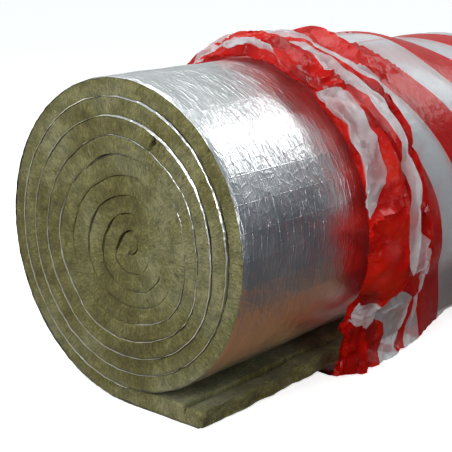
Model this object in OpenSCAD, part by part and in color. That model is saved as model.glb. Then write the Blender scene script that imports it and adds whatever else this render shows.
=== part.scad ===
// Insulation roll: a foil-faced stone-wool mat wound up on itself and lying on
// its side, with its loose end on the floor and a packing sleeve pushed back
// off its near end. The roll runs along X, the near end face is at the low X
// end, the loose end points to -Y and the floor is z = 0. The origin is on the
// floor under the middle of the whole object.

/* [Mat] */
// Length of the roll, which is the width of the mat
roll_length = 1000; // [600:50:1200]
// Thickness of the mat with its facing
mat_thickness = 30; // [20:1:50]
// Turns wound round the eye
turns = 9; // [6:1:11]
// Diameter of the eye left open by the innermost turn
eye_diameter = 10; // [8:1:20]
// Loose end lying on the floor, from below the roll's axis to its cut edge
tail_length = 165; // [110:5:200]
// Width of the last wool strip before the cut edge
last_strip_width = 38; // [25:1:60]
// Width of the open joint beside the last strip
joint_width = 3; // [1:0.5:6]

/* [Ends of the roll] */
// Depth of the seam between turns at each end
seam_depth = 14; // [6:1:30]
// Opening of the seam between one turn's facing and the next turn's wool
seam_gap = 2; // [1:0.5:4]

/* [Facing] */
// Thickness of the foil facing
foil_thickness = 0.3; // [0.2:0.1:0.6]
// Seams in which the facing shows, counted from the outside
foil_seams = 5; // [1:1:5]

/* [Packing film] */
// Thickness of the film
film_thickness = 0.3; // [0.2:0.1:0.6]
// Play of the sleeve round the roll
film_play = 1; // [0.5:0.5:5]
// Bare length of the roll in front of the sleeve
bare_length = 240; // [150:10:320]
// Length of the gathered front of the sleeve
gather_length = 200; // [120:10:260]
// Height the gathered film stands above the top of the roll
gather_height = 38; // [20:2:60]
// Floor reached by the gathered film beyond the cut edge of the mat
gather_reach = 60; // [30:5:70]
// Floor reached by the gathered film on the other side of the roll
gather_slump = 80; // [40:5:120]
// Diameter of the opening left in the film at the far end
end_opening = 260; // [160:10:360]

/* [Hidden] */
$fn = 180;
// The gathered film lies doubled on the floor, so the sleeve behind it is one
// film higher
sleeve_z = film_thickness;
// Underside of the facing, which lies on the sleeve
base_z = sleeve_z + film_thickness;
// The roll is two sets of half turns: those on the +Y side are struck about
// one centre, those on the -Y side about a centre half a mat higher, so each
// half turn runs on into the next
left_radius = turns * mat_thickness + eye_diameter / 2;
right_radius = left_radius - mat_thickness / 2;
left_centre_z = base_z + left_radius;
right_centre_z = left_centre_z + mat_thickness / 2;
top_z = left_centre_z + left_radius;
joint_depth = mat_thickness * 0.7;
sleeve_length = roll_length - bare_length;
cut_edge_y = -tail_length;
// Depth to which a straight run of film is taken into the round body it meets
web_bite = 1.5;
gather_radius = (top_z + gather_height - web_bite) / 2;
gather_centre_z = gather_radius + web_bite;
// Room for a cutter to pass a face
pass = 1;

// Angle, from straight down, at which a flat sheet from a point touches a
// circle: the point is "run" beside and "rise" below the circle's centre
function touch_angle(run, rise, radius) =
  atan2(run, rise) + acos(radius / sqrt(run * run + rise * rise));

// Puts the origin under the middle of the object
module about_origin() {
  translate([-(roll_length + film_thickness) / 2, 0, 0])
    children();
}

// Half of a ring or disc with its axis along X: side 1 is +Y, side -1 is -Y
module half_ring(side, centre_z, inner, outer, length) {
  translate([0, 0, centre_z])
    rotate([0, 90, 0])
      rotate([0, 0, side > 0 ? 0 : 180])
        rotate_extrude(angle = 180)
          translate([inner, 0])
            square([outer - inner, length]);
}

// One full turn of the spiral band, "index" turns in from the outside, lying
// from "below" under the mat's outer surface to "above" over it
module spiral_turn(index, below, above, length) {
  left = left_radius - index * mat_thickness;
  right = right_radius - index * mat_thickness;
  half_ring(1, left_centre_z, left - below, left + above, length);
  half_ring(-1, right_centre_z, right - below, right + above, length);
}

// The wound wool with the loose end, its eye and the seams between its turns
module wool_mat() {
  color([0.45, 0.42, 0.28])
    about_origin()
      difference() {
        union() {
          half_ring(1, left_centre_z, 0, left_radius - foil_thickness, roll_length);
          half_ring(-1, right_centre_z, 0, right_radius - foil_thickness, roll_length);
          translate([0, cut_edge_y, base_z + foil_thickness])
            cube([roll_length, tail_length, mat_thickness - foil_thickness]);
        }
        translate([-pass, 0, left_centre_z])
          rotate([0, 90, 0])
            cylinder(d = eye_diameter, h = roll_length + 2 * pass);
        for (index = [1 : turns - 1], start = [-pass, roll_length - seam_depth])
          translate([start, 0, 0])
            spiral_turn(index, foil_thickness, seam_gap, seam_depth + pass);
        translate([-pass, cut_edge_y + last_strip_width,
                   base_z + mat_thickness - joint_depth])
          cube([roll_length + 2 * pass, joint_width, joint_depth + pass]);
      }
}

// The foil: round the outside, under the loose end and on in the end seams
module foil_facing() {
  color([0.78, 0.79, 0.8])
    about_origin() {
      spiral_turn(0, foil_thickness, 0, roll_length);
      translate([0, cut_edge_y, base_z])
        cube([roll_length, tail_length, foil_thickness]);
      for (index = [1 : foil_seams], start = [0, roll_length - seam_depth])
        translate([start, 0, 0])
          spiral_turn(index, foil_thickness, 0, seam_depth);
    }
}

// Everything inside a film that is "grow" away from the roll and from its
// loose end, where the film runs straight from the roll down to the cut edge
module wrapped_bulk(grow, length) {
  left_z = left_centre_z + film_play;
  right_z = right_centre_z + film_play;
  right_grown = right_radius + film_play + grow;
  floor_y = cut_edge_y - film_play - grow;
  floor_z = base_z - grow;
  touch = touch_angle(-floor_y, right_z - floor_z, right_grown);
  bitten = right_grown - web_bite;
  half_ring(1, left_z, 0, left_radius + film_play + grow, length);
  half_ring(-1, right_z, 0, right_grown, length);
  rotate([90, 0, 90])
    linear_extrude(length)
      polygon([
        [floor_y, floor_z],
        [-bitten * sin(touch), right_z - bitten * cos(touch)],
        [0, right_z],
        [0, floor_z],
      ]);
}

// The gathered front of the sleeve, filled: a higher round body with its foot
// spread on the floor on both sides
module gathered_bulk(length) {
  near_y = cut_edge_y - gather_reach;
  near_touch = touch_angle(-near_y, gather_centre_z, gather_radius);
  far_touch = touch_angle(gather_slump, gather_centre_z, gather_radius);
  bitten = gather_radius - web_bite;
  translate([0, 0, gather_centre_z])
    rotate([0, 90, 0])
      cylinder(r = gather_radius, h = length);
  rotate([90, 0, 90])
    linear_extrude(length)
      polygon([
        [near_y, 0],
        [-bitten * sin(near_touch), gather_centre_z - bitten * cos(near_touch)],
        [0, gather_centre_z],
        [bitten * sin(far_touch), gather_centre_z - bitten * cos(far_touch)],
        [gather_slump, 0],
      ]);
}

// The sleeve from the gathered front to the far end, turned in over it
module packing_film() {
  color([0.85, 0.3, 0.26])
    about_origin()
      translate([bare_length, 0, 0])
        difference() {
          union() {
            gathered_bulk(gather_length);
            translate([gather_length, 0, 0])
              wrapped_bulk(film_thickness, sleeve_length - gather_length + film_thickness);
          }
          translate([-pass, 0, 0])
            wrapped_bulk(0, sleeve_length + pass);
          translate([sleeve_length - pass, 0, left_centre_z])
            rotate([0, 90, 0])
              cylinder(d = end_opening, h = film_thickness + 2 * pass);
        }
}

wool_mat();
foil_facing();
packing_film();
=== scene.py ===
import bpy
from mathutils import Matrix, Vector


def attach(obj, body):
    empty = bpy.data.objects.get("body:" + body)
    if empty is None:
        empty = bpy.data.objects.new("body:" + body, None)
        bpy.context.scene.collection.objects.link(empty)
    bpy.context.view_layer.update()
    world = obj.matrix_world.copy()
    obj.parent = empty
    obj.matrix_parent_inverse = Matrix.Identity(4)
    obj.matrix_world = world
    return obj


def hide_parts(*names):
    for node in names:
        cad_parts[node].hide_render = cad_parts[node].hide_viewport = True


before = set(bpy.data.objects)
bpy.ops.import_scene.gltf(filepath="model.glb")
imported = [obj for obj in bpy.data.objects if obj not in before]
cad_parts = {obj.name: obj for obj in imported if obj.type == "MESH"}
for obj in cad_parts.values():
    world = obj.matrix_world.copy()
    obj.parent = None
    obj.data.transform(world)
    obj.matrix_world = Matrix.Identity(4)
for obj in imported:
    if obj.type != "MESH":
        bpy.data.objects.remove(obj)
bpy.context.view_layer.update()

# A roll of foil-faced stone-wool mat on its side. The mat is one long strip
# that is wound up in this script as the real one is: flat grids are carried
# round a spiral, then cut relief, crinkles and folds are worked into them.
# Lengths are in metres, except for the sizes of the finishes' patterns, which
# are in millimetres.

import logging
import math
from dataclasses import dataclass, field
from enum import Enum
from typing import Any

import bpy
import numpy as np

LOG = logging.getLogger("insulation_roll")
FULL_TURN = 2 * math.pi
# Rows of equal-sided triangles to a unit, which is 2 / sqrt(3)
TRIANGLE_ROWS = 1.1547
# Places of the sockets of a colour Mix node, whose names repeat
MIX_FACTOR, MIX_FIRST, MIX_SECOND, MIX_RESULT = 0, 6, 7, 2

Array = np.ndarray


# --------------------------------------------------------------- small tools


def linear(hex_colour: str) -> tuple[float, float, float, float]:
    """Turns an sRGB hex colour into linear light.

    Args:
        hex_colour: Six hex digits after a hash sign.

    Returns:
        Red, green, blue and an alpha of 1.
    """
    channels = [int(hex_colour[i : i + 2], 16) / 255 for i in (1, 3, 5)]
    toned = [c / 12.92 if c <= 0.04045 else ((c + 0.055) / 1.055) ** 2.4 for c in channels]
    return (*toned, 1.0)


def per_metre(size: float) -> float:
    """Scale of a pattern whose features are so many millimetres wide."""
    return 1000 / size


def ease(t: Array) -> Array:
    """Runs from 0 to 1 with level ends as t does, and stays there outside."""
    t = np.clip(t, 0, 1)
    return t * t * (3 - 2 * t)


def lattice(ix: Array, iy: Array, seed: int) -> Array:
    """A fixed random height for each whole-numbered point.

    Args:
        ix: First whole number of each point.
        iy: Second whole number.
        seed: Picks one of many such sets of heights.

    Returns:
        Heights from -1 to 1, scrambled out of the numbers by an integer hash.
    """
    h = (ix.astype(np.int64) * 374761393 + iy.astype(np.int64) * 668265263
         + seed * 974634777) & 0xFFFFFFFF
    h = ((h ^ (h >> 13)) * 1274126177) & 0xFFFFFFFF
    return ((h ^ (h >> 16)) & 0xFFFF) / 32767.5 - 1


def soft_noise(x: Array, y: Array, seed: int) -> Array:
    """Smooth random bumps about one unit wide.

    Args:
        x: First coordinate of each place.
        y: Second coordinate.
        seed: As in lattice.

    Returns:
        Heights from -1 to 1.
    """
    x, y = np.broadcast_arrays(np.asarray(x, float), np.asarray(y, float))
    ix, iy = np.floor(x), np.floor(y)
    fx, fy = ease(x - ix), ease(y - iy)
    low = lattice(ix, iy, seed) * (1 - fx) + lattice(ix + 1, iy, seed) * fx
    high = lattice(ix, iy + 1, seed) * (1 - fx) + lattice(ix + 1, iy + 1, seed) * fx
    return low * (1 - fy) + high * fy


def creased_noise(x: Array, y: Array, seed: int) -> Array:
    """Random heights made of flat triangles with sharp creases between them,
    as crumpled film and foil have.

    Args:
        x: First coordinate of each place.
        y: Second coordinate.
        seed: As in lattice. It also turns the net of triangles.

    Returns:
        Heights from -1 to 1.
    """
    x, y = np.broadcast_arrays(np.asarray(x, float), np.asarray(y, float))
    turn = seed * 1.7
    u = x * math.cos(turn) - y * math.sin(turn)
    v = (x * math.sin(turn) + y * math.cos(turn)) * TRIANGLE_ROWS
    u = u - v * 0.5
    iu, iv = np.floor(u), np.floor(v)
    fu, fv = u - iu, v - iv
    corner = lattice(iu, iv, seed)
    across = lattice(iu + 1, iv + 1, seed)
    side_u, side_v = lattice(iu + 1, iv, seed), lattice(iu, iv + 1, seed)
    lower = corner + (side_u - corner) * fu + (across - side_u) * fv
    upper = corner + (side_v - corner) * fv + (across - side_v) * fu
    return np.where(fu > fv, lower, upper)


@dataclass(frozen=True)
class Bumps:
    """Random bumps over a flat surface: their height, their width in its two
    directions, and which set of random heights they use."""

    height: float
    along: float
    across: float
    seed: int
    creased: bool = False

    def share(self, u: Array, v: Array, shift: int = 0) -> Array:
        """Heights from -1 to 1.

        Args:
            u: First flat coordinate of each place.
            v: Second flat coordinate.
            shift: Added to the seed.

        Returns:
            The heights as shares of the full height.
        """
        noise = creased_noise if self.creased else soft_noise
        return noise(u / self.along, v / self.across, self.seed + shift)

    def at(self, u: Array, v: Array, shift: int = 0) -> Array:
        """Heights to both sides of the surface, with arguments as for share."""
        return self.height * self.share(u, v, shift)

    def above(self, u: Array, v: Array) -> Array:
        """Heights that only stand up, by up to twice the full height."""
        return self.height * (self.share(u, v) + 1)


@dataclass(frozen=True)
class Ripple:
    """Random ups and downs along a line: their height, their length, which
    set of random heights they use and the row of that set."""

    height: float
    length: float
    seed: int
    row: float = 0.0

    def share(self, along: Array) -> Array:
        """Heights from -1 to 1."""
        return soft_noise(along / self.length, self.row, self.seed)

    def at(self, along: Array) -> Array:
        """Heights at places on the line."""
        return self.height * self.share(along)


@dataclass(frozen=True)
class Stretch:
    """A stretch of a line with soft ends, which lie inside it. Stretches of a
    turn are shares of it from the floor line: 0.25 is the +Y side, 0.5 the
    top and 0.75 the -Y side."""

    start: float
    rise: float
    end: float
    fall: float

    def share(self, place: Array) -> Array:
        """One inside the stretch, nothing outside it."""
        return ease((place - self.start) / self.rise) * ease((self.end - place) / self.fall)


def add_node(tree: bpy.types.NodeTree, kind: str, inputs: dict[Any, Any] | None = None,
             stops: tuple[tuple[float, str], ...] = (), **settings: Any) -> bpy.types.Node:
    """Adds a node with its settings and links.

    Args:
        tree: The node tree it goes in.
        kind: The node's type name, after "ShaderNode".
        inputs: Socket name or number to a value, or to the output it is fed by.
        stops: Places and sRGB hex colours of a colour ramp.
        **settings: Properties of the node.

    Returns:
        The new node.
    """
    made = tree.nodes.new("ShaderNode" + kind)
    for name, value in settings.items():
        setattr(made, name, value)
    for name, value in (inputs or {}).items():
        if isinstance(value, bpy.types.NodeSocket):
            tree.links.new(value, made.inputs[name])
        else:
            made.inputs[name].default_value = value
    for number, (place, colour) in enumerate(stops):
        if number == len(made.color_ramp.elements):
            made.color_ramp.elements.new(place)
        element = made.color_ramp.elements[number]
        element.position, element.color = place, linear(colour)
    return made


def empty_material(name: str) -> tuple[bpy.types.Material, bpy.types.NodeTree]:
    """Makes a material with an empty node tree.

    Args:
        name: The material's name.

    Returns:
        The material and its tree.
    """
    material = bpy.data.materials.new(name)
    material.use_nodes = True
    material.node_tree.nodes.clear()
    return material, material.node_tree


def only(obj: bpy.types.Object) -> None:
    """Selects one object and nothing else.

    Args:
        obj: The object.
    """
    bpy.ops.object.select_all(action="DESELECT")
    obj.select_set(True)
    bpy.context.view_layer.objects.active = obj


def shaped_strip(name: str, x: Array, y: Array, z: Array, u: Array, v: Array,
                 flip: bool = False) -> bpy.types.Object:
    """Adds a flat grid, carries its points to their places and lays its UV map.

    Args:
        name: The object's name.
        x: Places of the points, one row of the array to each row of the grid.
        y: As x.
        z: As x.
        u: Flat coordinate along the strip, of that shape or one row or column.
        v: Flat coordinate across it, likewise.
        flip: True if the faces then point the wrong way.

    Returns:
        The strip.
    """
    rows, columns = x.shape
    bpy.ops.object.select_all(action="DESELECT")
    bpy.ops.mesh.primitive_grid_add(x_subdivisions=columns - 1, y_subdivisions=rows - 1, size=1)
    strip = bpy.context.object
    strip.name = strip.data.name = name
    points = np.stack([a.ravel() for a in np.broadcast_arrays(x, y, z)], 1)
    strip.data.vertices.foreach_set("co", points.astype(np.float32).ravel())
    corner = np.zeros(len(strip.data.loops), np.int32)
    strip.data.loops.foreach_get("vertex_index", corner)
    flat = np.stack([a.ravel() for a in np.broadcast_arrays(u, v, x)[:2]], 1)[corner]
    strip.data.uv_layers[0].data.foreach_set("uv", flat.astype(np.float32).ravel())
    strip.data.update()
    if flip:
        strip.data.flip_normals()
    return strip


def mark_points(strip: bpy.types.Object, name: str, values: Array) -> None:
    """Gives every point of a strip a number that its material can read.

    Args:
        strip: A strip from shaped_strip.
        name: Name of the attribute.
        values: One number to a point, in rows as the grid's points are.
    """
    layer = strip.data.attributes.new(name, "FLOAT", "POINT")
    layer.data.foreach_set("value", values.astype(np.float32).ravel())


def joined(parts: list[bpy.types.Object], name: str) -> bpy.types.Object:
    """Joins strips into one object.

    Args:
        parts: The strips.
        name: The name of the whole.

    Returns:
        The joined object.
    """
    only(parts[0])
    for part in parts[1:]:
        part.select_set(True)
    bpy.ops.object.join()
    made = bpy.context.object
    made.name = made.data.name = name
    return made


def merge_seams(obj: bpy.types.Object, distance: float) -> None:
    """Merges points that lie together.

    Args:
        obj: The object.
        distance: How near two points are to be merged.
    """
    only(obj)
    bpy.ops.object.mode_set(mode="EDIT")
    bpy.ops.mesh.select_all(action="SELECT")
    bpy.ops.mesh.remove_doubles(threshold=distance)
    bpy.ops.object.mode_set(mode="OBJECT")


def close_openings(obj: bpy.types.Object) -> None:
    """Fills every open loop and turns all faces outwards.

    Args:
        obj: The object.
    """
    only(obj)
    bpy.ops.object.mode_set(mode="EDIT")
    bpy.ops.mesh.select_all(action="SELECT")
    bpy.ops.mesh.fill_holes(sides=0)
    bpy.ops.mesh.select_all(action="SELECT")
    bpy.ops.mesh.normals_make_consistent(inside=False)
    bpy.ops.object.mode_set(mode="OBJECT")


def dress(obj: bpy.types.Object, material: bpy.types.Material, smooth_angle: float) -> None:
    """Gives a piece its material and smooth shading.

    Args:
        obj: The piece.
        material: Its only material.
        smooth_angle: Edges that bend more than this, in degrees, stay sharp.
    """
    obj.data.materials.clear()
    obj.data.materials.append(material)
    only(obj)
    bpy.ops.object.shade_smooth_by_angle(angle=math.radians(smooth_angle))


def spread(*stretches: tuple[float, float, float]) -> Array:
    """Places along a line, closer together in some stretches than in others.

    Args:
        *stretches: Start, end and step of each stretch, in order.

    Returns:
        All the places, with both ends.
    """
    parts = []
    for start, end, step in stretches:
        count = max(1, round(abs(end - start) / step))
        parts.append(np.linspace(start, end, count + 1)[:-1])
    return np.append(np.concatenate(parts), stretches[-1][1])


# ------------------------------------------------------------------- finishes


@dataclass(frozen=True)
class StoneWool:
    """Stone wool, spun from rock and cut into strips: matt, fibrous, olive
    brown, with streaks along the fibres, darker and paler tufts, and
    painted shade in the splits between them. A fibre is far too fine to
    show, so what is drawn is the tufts that the fibres lie in."""

    tuft_width: float = 3.5
    tuft_length: float = 9.0  # along the fibres
    split_width: float = 1.3  # a split between tufts, against a tuft's width
    split_length: float = 2.2  # and against its length
    clumps: float = 26.32
    patches: float = 111.1
    fluff: float = 3.030  # loose fibres on the surface
    dark: str = "#3A3417"
    middle: str = "#6C6735"
    pale: str = "#A39B68"
    # Painted shade, laid into the splits between tufts
    shaded: str = "#2B260F"
    patch_colours: tuple[tuple[float, str], ...] = (
        (0.38, "#5A5424"), (0.48, "#625F32"), (0.57, "#686A44"), (0.66, "#72755A"))

    def fibres(self, tree: bpy.types.NodeTree, place: bpy.types.NodeSocket, wide: float,
               long: float, **noise: float) -> bpy.types.NodeSocket:
        """Noise drawn out along the fibres, which run through the mat.

        Args:
            tree: The material's tree.
            place: The piece's flat coordinates.
            wide: Width of a streak in millimetres.
            long: Its length.
            **noise: Inputs of the noise.

        Returns:
            The noise.
        """
        drawn_out = add_node(tree, "Mapping", {
            "Vector": place, "Scale": (per_metre(wide), per_metre(long), 1.0)})
        return add_node(tree, "TexNoise", {
            "Vector": drawn_out.outputs[0], "Scale": 1.0, **noise}).outputs["Fac"]

    def material(self) -> bpy.types.Material:
        """Builds the material on the piece's own UV map, in metres.

        Returns:
            The material.
        """
        made, tree = empty_material("stone_wool_cut_lamella")
        place = add_node(tree, "UVMap", uv_map="UVMap").outputs["UV"]
        body = add_node(tree, "TexCoord").outputs["Object"]
        streaks = self.fibres(tree, place, self.tuft_width, self.tuft_length,
                              Detail=5.0, Roughness=0.62, Distortion=0.6)
        clumps = add_node(tree, "TexNoise", {
            "Vector": body, "Scale": per_metre(self.clumps), "Detail": 3.0, "Roughness": 0.55})
        patches = add_node(tree, "TexNoise", {
            "Vector": body, "Scale": per_metre(self.patches), "Detail": 2.0})
        fluff = add_node(tree, "TexNoise", {
            "Vector": body, "Scale": per_metre(self.fluff), "Detail": 3.0, "Roughness": 0.75})
        tone = streaks
        for share, layer in ((0.42, clumps), (0.22, patches), (0.22, fluff)):
            tone = add_node(tree, "Mix", {
                "Factor": share, "A": tone, "B": layer.outputs["Fac"]}).outputs["Result"]
        tuft_colour = add_node(tree, "ValToRGB", {"Fac": tone}, stops=(
            (0.41, self.dark), (0.5, self.middle), (0.58, self.pale)))
        patch_colour = add_node(tree, "ValToRGB", {"Fac": patches.outputs["Fac"]},
                                stops=self.patch_colours)
        colour = add_node(tree, "Mix", {
            MIX_FACTOR: 0.5, MIX_FIRST: tuft_colour.outputs["Color"],
            MIX_SECOND: patch_colour.outputs["Color"]}, data_type="RGBA")
        # Painted shade in the splits between tufts: it darkens the colour there, and the splits
        # have no relief of their own
        splits = self.fibres(tree, place, self.split_width * self.tuft_width,
                             self.split_length * self.tuft_length, Detail=3.0, Distortion=0.9)
        depth = add_node(tree, "MapRange", {
            "Value": splits, "From Min": 0.60, "From Max": 0.72, "To Max": 0.62})
        shaded = add_node(tree, "Mix", {
            MIX_FACTOR: depth.outputs[0], MIX_FIRST: colour.outputs[MIX_RESULT],
            MIX_SECOND: linear(self.shaded)}, data_type="RGBA")
        height = add_node(tree, "Mix", {
            "Factor": 0.45, "A": streaks, "B": fluff.outputs["Fac"]})
        relief = add_node(tree, "Bump", {
            "Height": height.outputs["Result"], "Strength": 0.9, "Distance": 0.004})
        surface = add_node(tree, "BsdfPrincipled", {
            "Base Color": shaded.outputs[MIX_RESULT],
            "Roughness": 0.95, "Normal": relief.outputs[0],
            "Specular IOR Level": 0.15, "Sheen Weight": 0.12, "Sheen Roughness": 0.6})
        add_node(tree, "OutputMaterial", {"Surface": surface.outputs[0]})
        return made


@dataclass(frozen=True)
class FoilLaminate:
    """Aluminium foil laminated to paper over a scrim net, then bent round the
    roll: bright metal that breaks its reflections at fine creases round the
    roll, shows the net as faint embossed lines and its paper at cut edges."""

    colour: str = "#DADCDD"
    paper: str = "#D2CFBC"
    roughness: float = 0.335
    strip: float = 0.040  # width of the strips of wool it is glued to, metres
    net: float = 13.5  # spacing of the scrim threads
    # Length round the roll and spacing along it
    creases: tuple[float, float] = (90.91, 16.13)
    fine_creases: tuple[float, float] = (38.46, 7.692)
    joint_dots: tuple[float, float] = (111.1, 6.667)
    fine_slant: float = 0.12  # of the fine creases, radians
    dents: float = 21.74
    patches: float = 62.5  # areas where the net shows or not
    pebbles: float = 5.263
    edge_map: str = "cut_edge"  # 1 where the paper shows at the cut edge

    def ridge(self, tree: bpy.types.NodeTree, distance: bpy.types.NodeSocket,
              width: float) -> bpy.types.NodeSocket:
        """The height of a crease or thread, which fades to its sides.

        Args:
            tree: The material's tree.
            distance: Distance from its middle.
            width: Distance at which it has faded out.

        Returns:
            One in its middle, nothing past its sides.
        """
        return add_node(tree, "MapRange", {
            "Value": distance, "From Min": 0.0, "From Max": width,
            "To Min": 1.0, "To Max": 0.0}).outputs[0]

    def ring_creases(self, tree: bpy.types.NodeTree,
                     place: bpy.types.NodeSocket) -> bpy.types.NodeSocket:
        """The main creases, which run round the roll: long along U, close
        together along V, and a little wavy.

        Args:
            tree: The material's tree.
            place: The piece's flat coordinates.

        Returns:
            Their height.
        """
        stretched = add_node(tree, "Mapping", {
            "Vector": place, "Scale": (*map(per_metre, self.creases), 1.0)})
        bent = add_node(tree, "TexNoise", {
            "Vector": stretched.outputs[0], "Scale": 0.8, "Detail": 2.0})
        swayed = add_node(tree, "VectorMath", {
            0: stretched.outputs[0], 1: bent.outputs["Color"]}, operation="ADD")
        cells = add_node(tree, "TexVoronoi", {
            "Vector": swayed.outputs[0], "Scale": 1.0}, feature="DISTANCE_TO_EDGE")
        return add_node(tree, "MapRange", {
            "Value": cells.outputs["Distance"], "From Min": 0.0, "From Max": 0.09,
            "To Min": 1.0, "To Max": 0.0}, interpolation_type="SMOOTHSTEP").outputs[0]

    def cracked(self, tree: bpy.types.NodeTree, place: bpy.types.NodeSocket, scale: float,
                width: float) -> bpy.types.NodeSocket:
        """A net of irregular creases.

        Args:
            tree: The material's tree.
            place: Coordinates it lies in.
            scale: Cells to a unit.
            width: Width of the creases against the cells.

        Returns:
            Their height.
        """
        cells = add_node(tree, "TexVoronoi", {
            "Vector": place, "Scale": scale}, feature="DISTANCE_TO_EDGE")
        return self.ridge(tree, cells.outputs["Distance"], width)

    def scrim(self, tree: bpy.types.NodeTree, place: bpy.types.NodeSocket,
              shown: bpy.types.NodeSocket) -> bpy.types.NodeSocket:
        """The threads of the net under the foil.

        Args:
            tree: The material's tree.
            place: The piece's flat coordinates.
            shown: How clearly they show at each place.

        Returns:
            Their height.
        """
        threads = add_node(tree, "Mapping", {
            "Vector": place, "Scale": (per_metre(self.net), per_metre(self.net), 1.0)})
        split = add_node(tree, "SeparateXYZ", {"Vector": threads.outputs[0]})
        ridges = []
        for axis in ("X", "Y"):
            saw = add_node(tree, "Math", {0: split.outputs[axis], 1: 0.5}, operation="PINGPONG")
            ridges.append(self.ridge(tree, saw.outputs[0], 0.06))
        net = add_node(tree, "Math", {0: ridges[0], 1: ridges[1]}, operation="MAXIMUM")
        return add_node(tree, "Math", {0: net.outputs[0], 1: shown},
                        operation="MULTIPLY").outputs[0]

    def strip_joints(self, tree: bpy.types.NodeTree,
                     place: bpy.types.NodeSocket) -> bpy.types.NodeSocket:
        """The joints between the strips of wool under the foil, which show in
        dots and dashes.

        Args:
            tree: The material's tree.
            place: The piece's flat coordinates.

        Returns:
            Their height.
        """
        split = add_node(tree, "SeparateXYZ", {"Vector": place})
        saw = add_node(tree, "Math", {0: split.outputs["X"], 1: self.strip / 2},
                       operation="PINGPONG")
        joint = self.ridge(tree, saw.outputs[0], 0.0011)
        dots = add_node(tree, "Mapping", {
            "Vector": place, "Scale": (*map(per_metre, self.joint_dots), 1.0)})
        dotted = add_node(tree, "TexNoise", {
            "Vector": dots.outputs[0], "Scale": 1.0, "Detail": 1.0})
        stitched = add_node(tree, "MapRange", {
            "Value": dotted.outputs["Fac"], "From Min": 0.44, "From Max": 0.56})
        return add_node(tree, "Math", {0: joint, 1: stitched.outputs[0]},
                        operation="MULTIPLY").outputs[0]

    def material(self) -> bpy.types.Material:
        """Builds the material on the piece's own UV map, in metres.

        Returns:
            The material.
        """
        made, tree = empty_material("aluminium_foil_scrim_laminate")
        place = add_node(tree, "UVMap", uv_map="UVMap").outputs["UV"]
        body = add_node(tree, "TexCoord").outputs["Object"]
        finer = add_node(tree, "Mapping", {
            "Vector": place, "Rotation": (0.0, 0.0, self.fine_slant),
            "Scale": (*map(per_metre, self.fine_creases), 1.0)})
        patches = add_node(tree, "TexNoise", {
            "Vector": body, "Scale": per_metre(self.patches), "Detail": 3.0, "Roughness": 0.6})
        shown = add_node(tree, "MapRange", {
            "Value": patches.outputs["Fac"], "From Min": 0.4, "From Max": 0.62})
        pebble = add_node(tree, "TexNoise", {
            "Vector": body, "Scale": per_metre(self.pebbles), "Detail": 3.0, "Roughness": 0.6})
        # Height, strength and depth in metres of each layer of relief
        layers = (
            (self.ring_creases(tree, place), 0.37, 0.0011),
            (self.cracked(tree, finer.outputs[0], 1.0, 0.14), 0.35, 0.0007),
            (self.cracked(tree, body, per_metre(self.dents), 0.12), 0.25, 0.0008),
            (self.scrim(tree, place, shown.outputs[0]), 0.22, 0.0005),
            (self.strip_joints(tree, place), 0.42, 0.0006),
            (pebble.outputs["Fac"], 0.30, 0.0009))
        relief: dict[str, Any] = {}
        for height, strength, depth in layers:
            bump = add_node(tree, "Bump", {
                "Height": height, "Strength": strength, "Distance": depth, **relief})
            relief = {"Normal": bump.outputs[0]}
        rough = add_node(tree, "MapRange", {
            "Value": patches.outputs["Fac"], "From Min": 0.3, "From Max": 0.7,
            "To Min": self.roughness - 0.05, "To Max": self.roughness + 0.07})
        foil = add_node(tree, "BsdfPrincipled", {
            "Base Color": linear(self.colour), "Metallic": 1.0,
            "Roughness": rough.outputs[0], **relief})
        paper = add_node(tree, "BsdfPrincipled", {
            "Base Color": linear(self.paper), "Roughness": 0.8})
        cut = add_node(tree, "Attribute", attribute_name=self.edge_map)
        whole = add_node(tree, "MixShader", {
            0: cut.outputs["Fac"], 1: foil.outputs[0], 2: paper.outputs[0]})
        add_node(tree, "OutputMaterial", {"Surface": whole.outputs[0]})
        return made


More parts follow.
